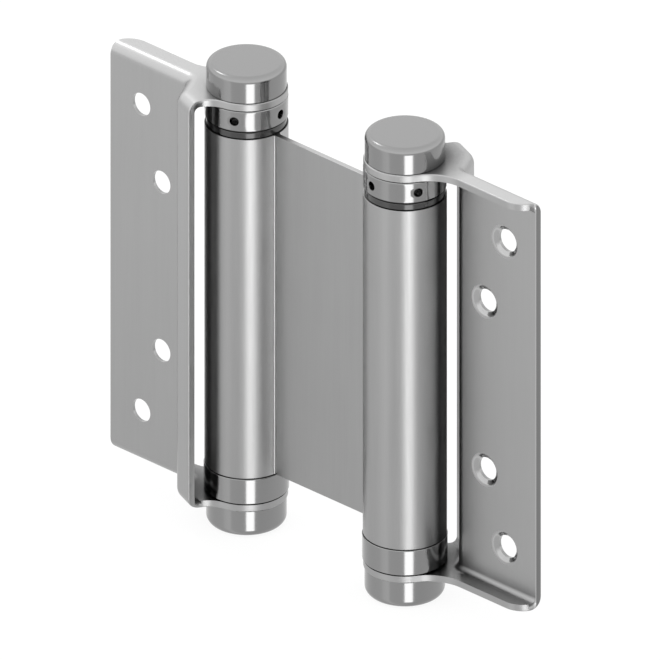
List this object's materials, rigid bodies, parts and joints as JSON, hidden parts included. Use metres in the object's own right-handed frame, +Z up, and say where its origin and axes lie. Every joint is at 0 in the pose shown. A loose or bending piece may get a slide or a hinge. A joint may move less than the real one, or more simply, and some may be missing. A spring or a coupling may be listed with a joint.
{
  "type": "double action saloon hinge",
  "caption": "Double action spring hinge, opened flat: a centre plate rolled into sprung barrels, with a pressed screw-on leaf turning on each barrel so that a saloon door swings both ways.",
  "frame": {"origin": "midway between the two spindles, at the mid height of the leaves, within 0.3 mm of the centre of the bounding box", "axes": "+X from the left spindle to the right one across the centre plate, +Z up along the spindles with the tension collars at the top, +Y out of the back of the centre plate"},
  "size_m": [0.1488, 0.0372, 0.1408],
  "materials": {
    "centre_plate_steel": "satin, brushed along the barrels",
    "leaf_steel": "satin, brushed upright, with bright rolled edges",
    "turned_steel": "turned and polished, satin on the flat tops",
    "spindle_steel": "ground",
    "spring_steel": "drawn wire, lightly oiled",
    "wear_ring_plastic": "black, slightly glossy",
    "bush_plastic": "black",
    "washer_plastic": "black"
  },
  "bodies": {
    "centre": {"centre_plate": "centre_plate_steel", "left_wear_ring": "wear_ring_plastic", "left_bottom_collar": "turned_steel", "left_bottom_bush": "bush_plastic", "left_bottom_washer": "washer_plastic", "left_spring": "spring_steel", "right_wear_ring": "wear_ring_plastic", "right_bottom_collar": "turned_steel", "right_bottom_bush": "bush_plastic", "right_bottom_washer": "washer_plastic", "right_spring": "spring_steel"},
    "left_leaf": {"left_leaf": "leaf_steel", "left_spindle": "spindle_steel", "left_top_cap": "turned_steel", "left_bottom_cap": "turned_steel"},
    "left_collar": {"left_tension_collar": "turned_steel", "left_top_bush": "bush_plastic", "left_top_washer": "washer_plastic"},
    "right_leaf": {"right_leaf": "leaf_steel", "right_spindle": "spindle_steel", "right_top_cap": "turned_steel", "right_bottom_cap": "turned_steel"},
    "right_collar": {"right_tension_collar": "turned_steel", "right_top_bush": "bush_plastic", "right_top_washer": "washer_plastic"}
  },
  "joints": [
    {"name": "left_leaf_swing", "type": "hinge", "parent": "centre", "child": "left_leaf", "pos_m": [-0.03, 0, 0], "axis": [0, 0, 1], "range_deg": [-180, 0]},
    {"name": "right_leaf_swing", "type": "hinge", "parent": "centre", "child": "right_leaf", "pos_m": [0.03, 0, 0], "axis": [0, 0, 1], "range_deg": [-180, 0]},
    {"name": "left_collar_turn", "type": "hinge", "parent": "centre", "child": "left_collar", "pos_m": [-0.03, 0, 0], "axis": [0, 0, 1], "range_deg": [0, 400], "stiffness_Nm_per_rad": 0.47, "deforming": ["left_spring"]},
    {"name": "right_collar_turn", "type": "hinge", "parent": "centre", "child": "right_collar", "pos_m": [0.03, 0, 0], "axis": [0, 0, 1], "range_deg": [0, 400], "stiffness_Nm_per_rad": 0.47, "deforming": ["right_spring"]}
  ]
}
